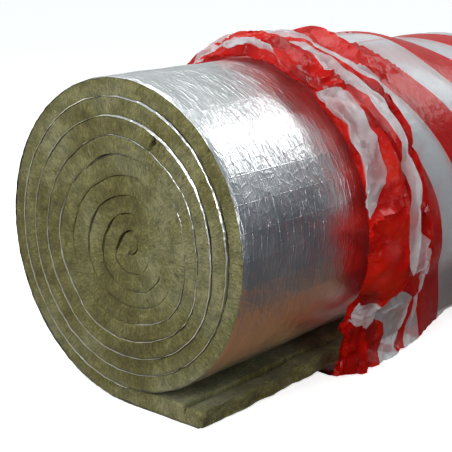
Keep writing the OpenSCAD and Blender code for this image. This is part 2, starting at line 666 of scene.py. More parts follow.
@dataclass(frozen=True)
class PrintedFilm:
    """Polyethylene film, blown thin, printed with slanting red stripes and
    welded into a sleeve whose weld lies under the roll: milky and see-through
    where bare, deeper where printed or doubled, with a wet gloss on its
    creases. The print does not meet itself at the weld."""

    pitch: float = 0.208  # one red and one bare stripe along the roll, metres
    printed: float = 0.54  # share of the pitch that is red
    phase: float = 0.402  # where a red stripe starts over the top of the roll, metres
    slant: float = 0.55  # run along the roll for each metre round it
    # Folded up to the first, tight past the second, along the roll in metres
    loose: tuple[float, float] = (0.44, 0.58)
    haze: float = 71.43
    layers: float = 90.91  # areas where it lies in more or fewer layers
    crinkles: float = 16.67
    facets: float = 17.24
    red: str = "#D9160C"
    bare: str = "#DDE1E4"
    tinted: str = "#E3B4B6"
    doubled: str = "#A50E0A"
    thinned: str = "#E3301C"
    layer_map: str = "doubled_under"  # 1 where the film lies under its own folds

    def ink(self, tree: bpy.types.NodeTree,
            flat: bpy.types.Node) -> bpy.types.NodeSocket:
        """The printed stripes.

        Args:
            tree: The material's tree.
            flat: The film's flat coordinates, split.

        Returns:
            One where the film is red, nothing where it is bare.
        """
        slid = add_node(tree, "Math", {0: flat.outputs["X"], 1: -self.slant,
                                       2: flat.outputs["Y"]}, operation="MULTIPLY_ADD")
        shifted = add_node(tree, "Math", {0: slid.outputs[0], 1: self.phase},
                           operation="SUBTRACT")
        counted = add_node(tree, "Math", {0: shifted.outputs[0], 1: self.pitch},
                           operation="DIVIDE")
        within = add_node(tree, "Math", {0: counted.outputs[0]}, operation="FRACT")
        striped = add_node(tree, "Math", {0: within.outputs[0], 1: self.printed},
                           operation="LESS_THAN")
        # The layer tucked under the folds lies on a printed one
        tucked = add_node(tree, "Attribute", attribute_name=self.layer_map)
        return add_node(tree, "Math", {0: striped.outputs[0], 1: tucked.outputs["Fac"]},
                        operation="MAXIMUM").outputs[0]

    def colours(self, tree: bpy.types.NodeTree, ink: bpy.types.NodeSocket,
                gathered: bpy.types.NodeSocket,
                body: bpy.types.NodeSocket) -> bpy.types.NodeSocket:
        """Colour of the film, with what shines through from its other layers:
        red ones behind tint the bare film pink, and doubled red is deeper.

        Args:
            tree: The material's tree.
            ink: Where it is printed.
            gathered: How much it lies in folds.
            body: Object coordinates.

        Returns:
            The colour.
        """
        layers = add_node(tree, "TexNoise", {
            "Vector": body, "Scale": per_metre(self.layers), "Detail": 1.5,
            "Roughness": 0.5, "Distortion": 0.3})
        uneven = add_node(tree, "Math", {0: layers.outputs["Fac"], 1: 0.5}, operation="SUBTRACT")
        layered = add_node(tree, "Math", {
            0: uneven.outputs[0], 1: gathered, 2: 0.5}, operation="MULTIPLY_ADD")
        bare = add_node(tree, "ValToRGB", {"Fac": layered.outputs[0]}, stops=(
            (0.40, self.bare), (0.54, self.bare), (0.72, self.tinted)))
        red = add_node(tree, "ValToRGB", {"Fac": layered.outputs[0]}, stops=(
            (0.33, self.doubled), (0.50, self.red), (0.70, self.thinned)))
        return add_node(tree, "Mix", {
            MIX_FACTOR: ink, MIX_FIRST: bare.outputs["Color"],
            MIX_SECOND: red.outputs["Color"]}, data_type="RGBA").outputs[MIX_RESULT]

    def creases(self, tree: bpy.types.NodeTree, gathered: bpy.types.NodeSocket,
                body: bpy.types.NodeSocket) -> bpy.types.NodeSocket:
        """Fine wrinkles all over, and flat facets where it lies in folds.

        Args:
            tree: The material's tree.
            gathered: How much it lies in folds.
            body: Object coordinates.

        Returns:
            The normal.
        """
        crinkle = add_node(tree, "TexNoise", {
            "Vector": body, "Scale": per_metre(self.crinkles), "Detail": 4.0,
            "Roughness": 0.55, "Distortion": 1.2})
        facets = add_node(tree, "TexVoronoi", {
            "Vector": body, "Scale": per_metre(self.facets)}, feature="F1")
        folded = add_node(tree, "Math", {0: facets.outputs["Distance"], 1: gathered},
                          operation="MULTIPLY")
        wavy = add_node(tree, "Bump", {
            "Height": crinkle.outputs["Fac"], "Strength": 0.45, "Distance": 0.003})
        return add_node(tree, "Bump", {
            "Height": folded.outputs[0], "Strength": 0.55, "Distance": 0.005,
            "Normal": wavy.outputs[0]}).outputs[0]

    def material(self) -> bpy.types.Material:
        """Builds the material on the film's flat cut, in metres.

        Returns:
            The material.
        """
        made, tree = empty_material("printed_polyethylene_film")
        place = add_node(tree, "UVMap", uv_map="UVMap")
        body = add_node(tree, "TexCoord").outputs["Object"]
        flat = add_node(tree, "SeparateXYZ", {"Vector": place.outputs["UV"]})
        folded, tight = self.loose
        gathered = add_node(tree, "MapRange", {
            "Value": flat.outputs["Y"], "From Min": tight, "From Max": folded,
            "To Min": 0.25, "To Max": 1.0}).outputs[0]
        ink = self.ink(tree, flat)
        colour = self.colours(tree, ink, gathered, body)
        normal = self.creases(tree, gathered, body)
        haze = add_node(tree, "TexNoise", {
            "Vector": body, "Scale": per_metre(self.haze), "Detail": 3.0})
        cloudy = add_node(tree, "MapRange", {
            "Value": haze.outputs["Fac"], "From Min": 0.3, "From Max": 0.7,
            "To Min": -0.06, "To Max": 0.06})
        solid = add_node(tree, "MapRange", {"Value": ink, "To Min": 0.70, "To Max": 0.95})
        opacity = add_node(tree, "Math", {0: solid.outputs[0], 1: cloudy.outputs[0]},
                           operation="ADD")
        front = add_node(tree, "BsdfPrincipled", {
            "Base Color": colour, "Roughness": 0.24, "Specular IOR Level": 0.36,
            "Normal": normal})
        through = add_node(tree, "BsdfTranslucent", {"Color": colour, "Normal": normal})
        sheet = add_node(tree, "MixShader", {
            0: 0.46, 1: front.outputs[0], 2: through.outputs[0]})
        clear = add_node(tree, "BsdfTransparent", {"Color": (1, 1, 1, 1)})
        whole = add_node(tree, "MixShader", {
            0: opacity.outputs[0], 1: clear.outputs[0], 2: sheet.outputs[0]})
        add_node(tree, "OutputMaterial", {"Surface": whole.outputs[0]})
        return made


@dataclass(frozen=True)
class StudioFloor:
    """Matt white acrylic board lit a little from below, with a faint tooth."""

    tooth: float = 16.67
    colour: str = "#F1F1F0"
    glow: float = 0.62

    def material(self) -> bpy.types.Material:
        """Builds the material.

        Returns:
            The material.
        """
        made, tree = empty_material("matt_white_board")
        body = add_node(tree, "TexCoord")
        tooth = add_node(tree, "TexNoise", {
            "Vector": body.outputs["Object"], "Scale": per_metre(self.tooth), "Detail": 2.0})
        relief = add_node(tree, "Bump", {
            "Height": tooth.outputs["Fac"], "Strength": 0.05, "Distance": 0.001})
        surface = add_node(tree, "BsdfPrincipled", {
            "Base Color": linear(self.colour), "Roughness": 0.75, "Normal": relief.outputs[0],
            "Emission Color": linear("#FFFFFF"), "Emission Strength": self.glow})
        add_node(tree, "OutputMaterial", {"Surface": surface.outputs[0]})
        return made


# ----------------------------------------------------------------- the spiral


@dataclass(frozen=True)
class Winding:
    """How the mat is wound: two sets of half turns, struck about two centres
    half a mat apart, and a loose end on the floor. "Along" is the length of
    mat from the line where the roll meets the floor, negative on the loose
    end; "depth" is how far a point lies under the facing."""

    near_x: float = -0.50015
    far_x: float = 0.49985
    mat: float = 0.030
    turns: int = 9
    eye: float = 0.010
    core: float = 0.0004  # least radius of the innermost turn's inner side
    tail: float = 0.165
    base_z: float = 0.0006
    table_places: int = 6000
    strip: float = 0.040  # width of one strip of wool
    stiffness: float = 0.75  # how nearly a strip stays flat when bent
    tightest: float = 0.02  # a strip sags no more than it does at this radius
    most_sag: float = 0.004
    sideways: float = 0.021  # how far the middle has slid towards the loose end
    sagged: float = 0.010  # and how far it has sunk
    shaken: float = 0.0026  # how far the inner turns have been pushed about
    split_turn: float = 2.575  # turns wound in to the split in the wool

    @property
    def left_radius(self) -> float:
        """Radius of the outermost half turn on the +Y side."""
        return self.turns * self.mat + self.eye / 2

    @property
    def centre_z(self) -> float:
        """Height of the centre of the +Y half turns."""
        return self.base_z + self.left_radius

    def angle_table(self) -> tuple[Array, Array]:
        """How far the mat goes round.

        Returns:
            Many angles wound inwards from the floor line, and the length of
            mat that each takes up.
        """
        angle = np.linspace(0, FULL_TURN * self.turns, self.table_places)
        middle = 0.5 * (self.radius(angle, 0 * angle) + self.radius(angle, 0 * angle + self.mat))
        steps = np.diff(angle) * 0.5 * (middle[1:] + middle[:-1])
        return angle, np.concatenate([[0.0], np.cumsum(steps)])

    def angle_at(self, along: Array) -> Array:
        """Angle wound inwards at places along the mat."""
        angles, lengths = self.angle_table()
        return np.interp(along, lengths, angles)

    def along_at(self, turn: float) -> float:
        """Place along the mat after so many turns from the outside."""
        angles, lengths = self.angle_table()
        return float(np.interp(FULL_TURN * turn, angles, lengths))

    def turn_of(self, along: Array) -> Array:
        """Number of turns from the outside, as a running number."""
        return self.angle_at(along) / FULL_TURN

    def radius(self, angle: Array, depth: Array) -> Array:
        """Radius about its half turn's own centre.

        Args:
            angle: Angle wound inwards.
            depth: Depth in the mat.

        Returns:
            The radius, with the mat pressed thinner where the eye has no room.
        """
        turn, within = np.divmod(angle, FULL_TURN)
        outer = self.left_radius - turn * self.mat - np.where(within >= math.pi, self.mat / 2, 0)
        return outer - depth * np.minimum(1.0, (outer - self.core) / self.mat)

    def flattened(self, along: Array, angle: Array, depth: Array) -> Array:
        """How far a point sinks in because its strip bends less than the roll
        does: nothing at the joints between strips, most in between.

        Args:
            along: Length along the mat.
            angle: Angle wound inwards.
            depth: Depth in the mat.

        Returns:
            How far it sinks in.
        """
        across = np.mod(along / self.strip, 1.0)
        radius = np.maximum(self.radius(angle, 0 * angle), self.tightest)
        sag = self.strip ** 2 / (8 * radius) * 4 * across * (1 - across)
        return np.minimum(sag, self.most_sag) * self.stiffness * (1 - depth / self.mat)

    def place(self, along: Array, depth: Array) -> tuple[Array, Array]:
        """Carries points of the flat mat to the roll.

        Args:
            along: Length along the mat, as in the class's description.
            depth: Depth under the facing.

        Returns:
            Their Y and Z.
        """
        along, depth = np.broadcast_arrays(np.asarray(along, float), np.asarray(depth, float))
        angle = self.angle_at(along)
        radius = self.radius(angle, depth) - self.flattened(along, angle, depth)
        right = np.mod(angle, FULL_TURN) >= math.pi
        centre = self.centre_z + np.where(right, self.mat / 2, 0)
        y, z = self.settled(radius * np.sin(angle), centre - radius * np.cos(angle))
        on_tail = along < 0
        return np.where(on_tail, along, y), np.where(on_tail, self.base_z + depth, z)

    def settled(self, y: Array, z: Array) -> tuple[Array, Array]:
        """The inner turns pushed out of true, as they are in a roll of soft
        mat that has been handled. The outermost hardly moves.

        Args:
            y: Y of points on the true spiral.
            z: Their Z.

        Returns:
            Y and Z after handling.
        """
        height = z - self.centre_z
        away = np.hypot(y, height)
        push = self.shaken * ease((0.245 - away) / 0.12)
        sunk = ease((0.262 - away) / 0.24)
        # Waves of different lengths, so that no turn is bent as its neighbour
        wave_y = np.sin(height * 29 + 1.1) + 0.6 * np.cos(y * 43 + height * 31)
        wave_z = np.cos(y * 27 + 0.4) + 0.6 * np.sin(height * 47 - y * 22)
        return (y + push * wave_y - self.sideways * sunk,
                z + push * wave_z - self.sagged * sunk)


@dataclass(frozen=True)
class CutFace:
    """Relief of the mat's cut edge, which is the end of the roll."""

    winding: Winding
    near: bool
    # How far each turn stands out past the outermost, from the outside in
    steps: tuple[float, ...] = (0.0, 0.0030, 0.0052, 0.0058, 0.0054, 0.0042, 0.0028,
                                0.0012, -0.0004, -0.0016)
    step_from: float = 0.86  # share of a turn after which the next step begins
    step_over: float = 0.14  # and over which it is taken
    far_share: float = 0.4  # of the steps, at the far end
    sway: float = 0.0012
    # How much deeper the inner turns lie from the side away from the loose
    # end round to the top
    dips: tuple[float, ...] = (0.0, 0.0, 0.0, 0.0, 0.0004, 0.0014, 0.0030, 0.0046,
                               0.0058, 0.0064)
    dip_side: Stretch = Stretch(0.20, 0.12, 0.66, 0.16)
    # Turns that have slipped out from the top round to the loose side
    slips: tuple[tuple[float, float], ...] = ((1.7, 0.0035), (2.7, 0.003), (3.8, 0.003))
    slip_side: Stretch = Stretch(0.44, 0.08, 0.86, 0.1)
    near_seed: int = 11
    far_seed: int = 57
    # Torn fibres: tufts, hollows and single fibres, and bits torn out
    fibres: tuple[Bumps, ...] = (Bumps(0.0009, 0.0065, 0.015, 0), Bumps(0.0012, 0.045, 0.05, 1),
                                 Bumps(0.0005, 0.0035, 0.006, 2))
    torn_out: Bumps = Bumps(0.004, 0.011, 0.010, 3)
    torn_over: float = 0.45  # only the top of these bumps is torn out
    worn: float = 0.0024  # rounding of the rims
    worn_width: float = 0.0030
    pressed_from: float = 4.0  # turn after which the rims are pressed shut
    split: float = 0.020  # depth of the split in the wool
    split_width: float = 0.0026
    split_wander: float = 0.0022

    def stand(self, along: Array) -> Array:
        """How far the cut edge stands out of the roll's end.

        Args:
            along: Places along the mat.

        Returns:
            The distance, without the torn fibres.
        """
        turn = np.maximum(self.winding.turn_of(along), 0)
        within = np.mod(turn, 1.0)
        stepped = np.floor(turn) + ease((within - self.step_from) / self.step_over)
        level = np.interp(stepped, np.arange(len(self.steps)), self.steps)
        sway = self.sway * np.sin(turn * FULL_TURN + 0.8) * ease(turn)
        dip = np.interp(turn, np.arange(len(self.dips)), self.dips)
        level = level - self.dip_side.share(within) * dip
        if not self.near:
            return self.far_share * level + sway
        slipped = sum(far * ease(2 - np.abs(turn - middle) * 1.4) for middle, far in self.slips)
        return level + self.slip_side.share(within) * slipped + sway

    def relief(self, along: Array, depth: Array) -> Array:
        """Height of the torn fibres over the cut.

        Args:
            along: Places along the mat.
            depth: Their depth in it.

        Returns:
            The height, positive outwards.
        """
        seed = self.near_seed if self.near else self.far_seed
        mat = self.winding.mat
        fibres = sum(layer.at(along, depth, seed) for layer in self.fibres)
        rim = np.minimum(depth, mat - depth)
        worn = self.worn * (1 - np.sqrt(np.clip(rim / self.worn_width, 0, 1)))
        pressed = ease((self.winding.turn_of(along) - self.pressed_from) / 1.5)
        worn = worn * (1 - 0.85 * pressed)
        torn = np.maximum(self.torn_out.share(along, depth, seed) - self.torn_over, 0)
        return fibres - worn - self.torn_out.height * torn - self.split_depth(along, depth)

    def split_depth(self, along: Array, depth: Array) -> Array:
        """Depth of the split that goes through the wool at the near end.

        Args:
            along: Places along the mat.
            depth: Their depth in it.

        Returns:
            The depth from the cut edge.
        """
        if not self.near:
            return 0.0 * along
        w = self.winding
        wander = self.split_wander * np.sin(depth * 210)
        off = along - w.along_at(w.split_turn) - wander
        return (self.split * np.exp(-(off / self.split_width) ** 4)
                * ease((w.mat * 0.95 - depth) / 0.004))

    def x_at(self, along: Array, depth: Array) -> Array:
        """X of the cut edge, at places along the mat and depths in it."""
        out = self.stand(along) + self.relief(along, depth)
        return self.winding.near_x - out if self.near else self.winding.far_x + out


# --------------------------------------------------------------- the wool mat


@dataclass
class WoolMat:
    """The stone-wool mat: the wound part, the loose end and their cut edges."""

    winding: Winding
    facing: float = 0.0005  # wool starts this far under the facing's surface
    face_step: float = 0.0046  # point spacing along the mat on the ends
    split_step: float = 0.0007  # and across the split
    last_strip: float = 0.038
    joint: float = 0.0045  # width of the open joint beside the last strip
    joint_depth: float = 0.017
    last_sunk: float = 0.0045  # how far the last strip lies lower
    edge_worn: float = 0.007  # rounding of the cut edge's upper rim
    gap: float = 0.0003  # between two turns
    gape: float = 0.0050  # and what it gains where the turns gape
    gapes: Ripple = Ripple(1.0, 0.09, 5, 0.5)
    gap_edge: Ripple = Ripple(0.0002, 0.018, 6, 0.5)
    # How the knife strayed from a straight cut across the mat
    knife: tuple[Ripple, ...] = (Ripple(0.0032, 0.045, 93), Ripple(0.0018, 0.013, 94))
    # Tufts and waves of the loose end's bare side
    loose_side: tuple[Bumps, ...] = (
        Bumps(0.0012, 0.007, 0.012, 71), Bumps(0.0022, 0.03, 0.07, 72))
    joint_wander: Ripple = Ripple(0.0012, 0.03, 73)
    # What the joint's width, the last strip's height and the rim vary by
    joint_width: Ripple = Ripple(0.5, 0.05, 74)
    sunk_share: Ripple = Ripple(0.6, 0.06, 76)
    chewed: Ripple = Ripple(0.6, 0.016, 75)
    # Relief of the cut edge
    bulge: float = 0.0012
    ragged: tuple[Bumps, ...] = (
        Bumps(0.0034, 0.012, 0.009, 91), Bumps(0.0042, 0.05, 0.03, 92))
    merge: float = 0.00002  # points nearer than this are one
    finish: StoneWool = field(default_factory=StoneWool)

    def apart(self, along: Array) -> Array:
        """One on the turns that stand apart at their seams, nothing within."""
        return ease((5.2 - self.winding.turn_of(along)) / 1.5)

    def opening(self, along: Array) -> Array:
        """Gap between this turn's inner side and the next turn's facing.

        Args:
            along: Places along the mat.

        Returns:
            The width of the gap.
        """
        within = np.mod(self.winding.turn_of(along), 1.0)
        pressed = ease((within - 0.78) / 0.08)
        wedge = self.gape * np.maximum(self.gapes.share(along) - 0.30, 0) * (1 - pressed)
        return (self.gap + wedge + self.gap_edge.at(along)) * self.apart(along)

    def ring(self, along: Array, across: Array, sides: Array) -> tuple[Array, ...]:
        """Points of the mat's outline at each place along it.

        Args:
            along: Places along the mat, one row each.
            across: Steps through the thickness from 0 to 1 on the ends.
            sides: Steps from 0 at the near end to 1 at the far end.

        Returns:
            X, Y, Z, U and V, with the first point repeated at the end.
        """
        w = self.winding
        rows = along[:, None]
        lowest = self.facing * self.apart(rows)
        highest = w.mat - np.where(rows < 0, 0.0, self.opening(rows))
        through = lowest + (highest - lowest) * across[None, :]
        near_x = CutFace(w, True).x_at(rows, through)
        far_x = CutFace(w, False).x_at(rows, through)
        inside = sides[None, 1:-1]
        top = near_x[:, -1:] + (far_x[:, -1:] - near_x[:, -1:]) * inside
        under = (near_x[:, :1] + (far_x[:, :1] - near_x[:, :1]) * inside)[:, ::-1]
        x = np.concatenate([near_x, top, far_x[:, ::-1], under, near_x[:, :1]], 1)
        deep = np.concatenate([
            through, np.broadcast_to(highest, top.shape), through[:, ::-1],
            np.broadcast_to(lowest, under.shape), through[:, :1]], 1)
        deep = deep + self.top_relief(rows, x, deep)
        y, z = w.place(np.broadcast_to(rows, deep.shape), deep)
        y = y + self.cut_wander(x) * ease(1 - (rows + w.tail) / 0.03)
        # The ends' map runs through the thickness, the sides' along the roll
        on_end = np.concatenate([
            np.full(near_x.shape, True), np.full(top.shape, False), np.full(far_x.shape, True),
            np.full(under.shape, False), np.full(rows.shape, True)], 1)
        return x, y, z, np.broadcast_to(rows, x.shape), np.where(on_end, deep, x - w.near_x)

    def cut_wander(self, x: Array) -> Array:
        """How far the knife strayed from a straight cut across the mat."""
        return sum(ripple.at(x) for ripple in self.knife)

    def top_relief(self, along: Array, x: Array, deep: Array) -> Array:
        """Unevenness of the loose end's bare wool side, with the open joint
        beside its last strip.

        Args:
            along: Places along the mat.
            x: Their X.
            deep: Their depth in the mat.

        Returns:
            Height over the smooth mat, nothing on the rest of it.
        """
        bare = (deep > self.winding.mat * 0.6) & (along < 0.01)
        from_edge = along + self.winding.tail
        uneven = sum(layer.at(along, x) for layer in self.loose_side)
        width = self.joint * (0.9 + self.joint_width.at(x))
        past_joint = from_edge - self.last_strip - self.joint_wander.at(x)
        slot = -self.joint_depth * ease(1.15 - np.abs(past_joint) / width)
        sunk = -self.last_sunk * (1.1 + self.sunk_share.at(x))
        slot = slot + sunk * ease(-past_joint / self.joint) * ease(from_edge / 0.012)
        edge = -self.edge_worn * (0.7 + self.chewed.at(x)) * ease(1 - from_edge / 0.008)
        return np.where(bare, uneven + slot + edge, 0.0)

    def wound_part(self) -> bpy.types.Object:
        """Builds the nine turns.

        Returns:
            Their strip.
        """
        w = self.winding
        split = w.along_at(w.split_turn)
        before, after = split - 0.006, split + 0.006
        along = spread((0.0, before, self.face_step), (before, after, self.split_step),
                       (after, w.along_at(w.turns), self.face_step))
        # Points lie closest at the rims, which are worn round
        across = np.array([0, 0.03, 0.1, 0.2, 0.3, 0.4, 0.5, 0.6, 0.7, 0.8, 0.9, 0.97, 1.0])
        sides = np.array([0, 0.004, 0.012, 0.03, 0.5, 0.985, 0.996, 1.0])
        x, y, z, u, v = self.ring(along, across, sides)
        return shaped_strip("wound_wool", x, y, z, u, v)

    def loose_end(self) -> bpy.types.Object:
        """Builds the end of the mat that lies on the floor.

        Returns:
            Its strip, joined with that of its cut edge.
        """
        edge = -self.winding.tail
        joint_at = self.last_strip - self.winding.tail
        along = spread(
            (edge, edge + 0.008, 0.002), (edge + 0.008, joint_at - 0.006, 0.005),
            (joint_at - 0.006, joint_at + 0.006, 0.0013), (joint_at + 0.006, 0.0, 0.006))
        across = np.linspace(0, 1, 13)
        sides = spread((0.0, 0.34, 0.007), (0.34, 1.0, 0.03))
        x, y, z, u, v = self.ring(along, across, sides)
        body = shaped_strip("loose_wool", x, y, z, u, v)
        return joined([body, self.cut_edge(along, across, sides)], "loose_wool")

    def cut_edge(self, along: Array, across: Array, sides: Array) -> bpy.types.Object:
        """Builds the knife-cut edge across the mat, ragged along its length.

        Args:
            along: Places along the mat, of which the first is the edge.
            across: Steps through the thickness, as in ring.
            sides: Steps along the roll, as in ring.

        Returns:
            Its strip.
        """
        w = self.winding
        x, _, z, _, _ = self.ring(along[:1], across, sides)
        # The outline goes up the near end, over the top and down the far end
        top = len(across) - 1
        far_top = top + len(sides) - 1
        far_low = far_top + len(across) - 1
        share = across[None, :]
        low = np.interp(sides, [0, 1], [x[0, 0], x[0, far_low]])
        high = np.interp(sides, [0, 1], [x[0, top], x[0, far_top]])
        grid_x = low[:, None] * (1 - share) + high[:, None] * share
        grid_x[0], grid_x[-1] = x[0, :top + 1], x[0, far_top:far_low + 1][::-1]
        low_z, top_z = z[0, 0], z[0, top:far_top + 1]
        grid_z = low_z + (top_z[:, None] - low_z) * share
        bulge = self.bulge * (np.sin(math.pi * share) * (0.5 + 0.5 * share))
        ragged = [layer.at(grid_x, grid_z) for layer in self.ragged]
        inner = np.minimum(1, np.minimum(share, 1 - share) * 8)
        ends = ease(np.minimum(grid_x - w.near_x + 0.004, w.far_x + 0.004 - grid_x) / 0.008)
        grid_y = -w.tail - (bulge + ragged[0] + ragged[1]) * inner * ends
        grid_y = grid_y + self.cut_wander(grid_x)
        return shaped_strip("cut_edge", grid_x, grid_y, grid_z, grid_x - w.near_x, grid_z,
                            flip=True)

    def build(self) -> bpy.types.Object:
        """Builds and dresses the mat.

        Returns:
            The mat.
        """
        mat = joined([self.wound_part(), self.loose_end()], "wool_mat_wound")
        merge_seams(mat, self.merge)
        close_openings(mat)
        dress(mat, self.finish.material(), 50)
        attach(mat, "root")
        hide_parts("wool_mat")
        LOG.info("wool mat: %d faces", len(mat.data.polygons))
        return mat


# ------------------------------------------------------------------- the foil


@dataclass
class FoilFacing:
    """The foil on the mat's outer side: one skin round the roll and under the
    loose end, and its edge where it shows between the turns."""

    winding: Winding
    lift: float = 0.0016  # how far it stands off the wool, clear of its edge
    thickness: float = 0.0002
    seams_shown: int = 5
    # Dents, wide and narrow creases round the roll, and crumpled facets
    creases: tuple[Bumps, ...] = (
        Bumps(0.0009, 0.07, 0.05, 21), Bumps(0.00014, 0.16, 0.011, 22),
        Bumps(0.00006, 0.09, 0.0055, 23), Bumps(0.00045, 0.03, 0.03, 24, True),
        Bumps(0.00018, 0.022, 0.013, 28, True))
    joint_depth: float = 0.0005  # of the joints between the strips of wool
    joint_width: float = 0.0012
    joint_shown: Bumps = Bumps(1.0, 0.04, 0.11, 25)
    skin_overhang: float = 0.0009  # past the wool, at the near end
    skin_ragged: Ripple = Ripple(0.0006, 0.006, 26)
    skin_turned: float = 0.0007  # how far the skin's edge is turned in
    skin_turned_share: Ripple = Ripple(0.6, 0.008, 27)
    # The rim of the foil in the seams: how far it is bent over the gap, in
    # patches and on the top side, and how it stands to the wool
    bent: float = 0.0006
    bent_patches: float = 0.0011
    patches: tuple[Ripple, ...] = (Ripple(1.0, 0.06, 34), Ripple(0.5, 0.013, 35))
    bent_on_top: float = 0.0022
    top_side: Stretch = Stretch(0.46, 0.06, 0.84, 0.1)
    low_side: Stretch = Stretch(0.62, 0.08, 1.0, 0.05)
    rim_ragged: tuple[Ripple, ...] = (Ripple(0.0005, 0.005, 31), Ripple(0.0006, 0.03, 32))
    proud: float = 0.0006
    proud_low: float = 0.0013
    sunk_inside: float = 0.004
    finish: FoilLaminate = field(default_factory=FoilLaminate)

    def crinkle(self, along: Array, x: Array) -> Array:
        """Height of the foil's creases and dents over the wool.

        Args:
            along: Places along the mat.
            x: Their X.

        Returns:
            The height.
        """
        run = x - self.winding.near_x
        strip = self.winding.strip
        from_joint = (np.mod(along / strip + 0.5, 1.0) - 0.5) * strip
        joints = np.exp(-(from_joint / self.joint_width) ** 2)
        shown = np.clip(self.joint_shown.at(along, run) + 0.3, 0, 1)
        return sum(layer.at(along, run) for layer in self.creases) - (
            self.joint_depth * joints * shown)

    def skin(self) -> bpy.types.Object:
        """Builds the foil from the cut edge round to where the roll closes on it.

        Returns:
            Its strip.
        """
        w = self.winding
        along = spread((0.006 - w.tail, -0.01, 0.012), (-0.01, w.along_at(1), 0.0055))
        rows = along[:, None]
        run = spread((0.0, 0.004, 0.002), (0.004, 0.30, 0.0045), (0.30, 1.0, 0.02))[None, :]
        ragged = self.skin_overhang + self.skin_ragged.at(rows)
        start = w.near_x - CutFace(w, True).stand(rows) - ragged
        end = w.far_x + CutFace(w, False).stand(rows) + 0.0006
        x = start + (end - start) * run
        height = self.crinkle(rows, x) * ease((x - start) / 0.006)
        turned_in = self.skin_turned * (1 - ease((x - start) / 0.004)) * (
            0.6 + self.skin_turned_share.at(rows))
        y, z = w.place(np.broadcast_to(rows, x.shape), self.thickness + 0 * x)
        out_z = z - w.centre_z
        lift = 0.0001 + self.lift * ease((x - start) / 0.010)
        # The loose end's foil lies flat, and nothing goes below the floor
        push = np.where(rows < 0, 0.0, (height + lift - turned_in) / np.hypot(y, out_z))
        push = push * ease(z / 0.004)
        return shaped_strip("foil_skin", x, y + y * push, z + out_z * push, rows, x - w.near_x)

    def rim_place(self, rows: Array, near: bool) -> tuple[Array, Array]:
        """Where the foil's rim is in the seam at one end.

        Args:
            rows: Places along the mat.
            near: True at the near end.

        Returns:
            X of the rim, and how far it is bent over the gap.
        """
        w = self.winding
        turn = w.turn_of(rows)
        within = np.mod(turn, 1.0)
        top_side, low_side = self.top_side.share(within), self.low_side.share(within)
        patch = sum(ripple.at(rows) for ripple in self.patches)
        bent = (self.bent + self.bent_patches * patch
                + self.bent_on_top * top_side * ease((4.3 - turn) / 1.5))
        bent = np.clip(bent * (1 - 0.75 * ease((turn - 4.4) / 1.0)), 0.0001, 0.004)
        ragged = sum(ripple.at(rows) for ripple in self.rim_ragged)
        sink = self.sunk_inside * ease((turn - 4.2) / 1.0) * (1 - low_side)
        proud = self.proud + self.proud_low * low_side * ease((turn - 2.5) / 0.4)
        out = CutFace(w, near).stand(rows) + proud + ragged - sink
        return (w.near_x - out if near else w.far_x + out), bent

    def seam_edge(self, near: bool) -> bpy.types.Object:
        """Builds the foil's edge along the spiral seam at one end, with its rim
        bent over the gap where it was crushed.

        Args:
            near: True at the near end.

        Returns:
            Its strip.
        """
        w = self.winding
        rows = spread((w.along_at(1), w.along_at(self.seams_shown + 0.2), 0.003))[:, None]
        tip, bent = self.rim_place(rows, near)
        # From the rim inwards: how far each point lies from it, what share of
        # the bend it has towards the gap and back, and how far it is frayed
        reach = np.array([0.0, 0.0, 0.0002, 0.002, 0.006, 0.014, 0.026])[None, :]
        over = np.array([1.0, 0.5, 0.05, 0.0, 0.0, 0.0, 0.0])[None, :]
        back = np.array([0.5, 0.25, 0.0, 0.0, 0.0, 0.0, 0.0])[None, :]
        frayed = np.array([1.0, 0.9, 0.9, 0.2, 0.0, 0.0, 0.0])[None, :]
        inwards = 1.0 if near else -1.0
        x = tip + inwards * (reach + back * bent)
        depth = -0.0003 - over * bent
        y, z = w.place(np.broadcast_to(rows, x.shape), np.broadcast_to(depth, x.shape))
        strip = shaped_strip("foil_seam", x, y, z, rows, x - w.near_x, flip=not near)
        top_side = self.top_side.share(np.mod(w.turn_of(rows), 1.0))
        mark_points(strip, self.finish.edge_map,
                    np.broadcast_to(frayed * (1 - 0.8 * top_side), x.shape))
        return strip

    def build(self) -> bpy.types.Object:
        """Builds and dresses the facing.

        Returns:
            The facing.
        """
        foil = joined([self.skin(), self.seam_edge(True), self.seam_edge(False)],
                      "foil_facing_wound")
        wall = foil.modifiers.new("foil_thickness", "SOLIDIFY")
        wall.thickness, wall.offset = self.thickness, -1.0
        only(foil)
        bpy.ops.object.modifier_apply(modifier=wall.name)
        dress(foil, self.finish.material(), 60)
        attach(foil, "root")
        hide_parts("foil_facing")
        LOG.info("foil facing: %d faces", len(foil.data.polygons))
        return foil


# ------------------------------------------------------------------- the film


class FoldKind(Enum):
    """The lines along which the pushed-back film is creased, rear to front."""

    BACK = "where the tight film ends"
    REAR_CREST = "top of the rear fold"
    REAR_VALLEY = "bottom between the rear and middle folds"
    MIDDLE_CREST = "top of the middle fold"
    FRONT_VALLEY = "bottom between the middle and front folds"
    FRONT_CREST = "top of the front flap"
    LIP = "front edge, where the film doubles back under itself"
    UNDER = "where the doubled film comes down on the foil"
    FREE_EDGE = "cut edge of the film, hidden under the folds"


@dataclass(frozen=True)
class FoldLine:
    """One crease line of the pushed-back film, given at the marked angles."""

    kind: FoldKind
    run: tuple[float, ...]  # distance from the roll's near end, millimetres
    high: tuple[float, ...]  # height over the roll, millimetres
    band: tuple[float, ...]  # its place across the printed stripes, millimetres


# Angles from straight down towards +Y; 180 is the top, 270 the loose side
MARKS = (0, 95, 140, 160, 172, 185, 200, 214, 219, 225, 250, 275, 292, 302, 310, 335, 360)

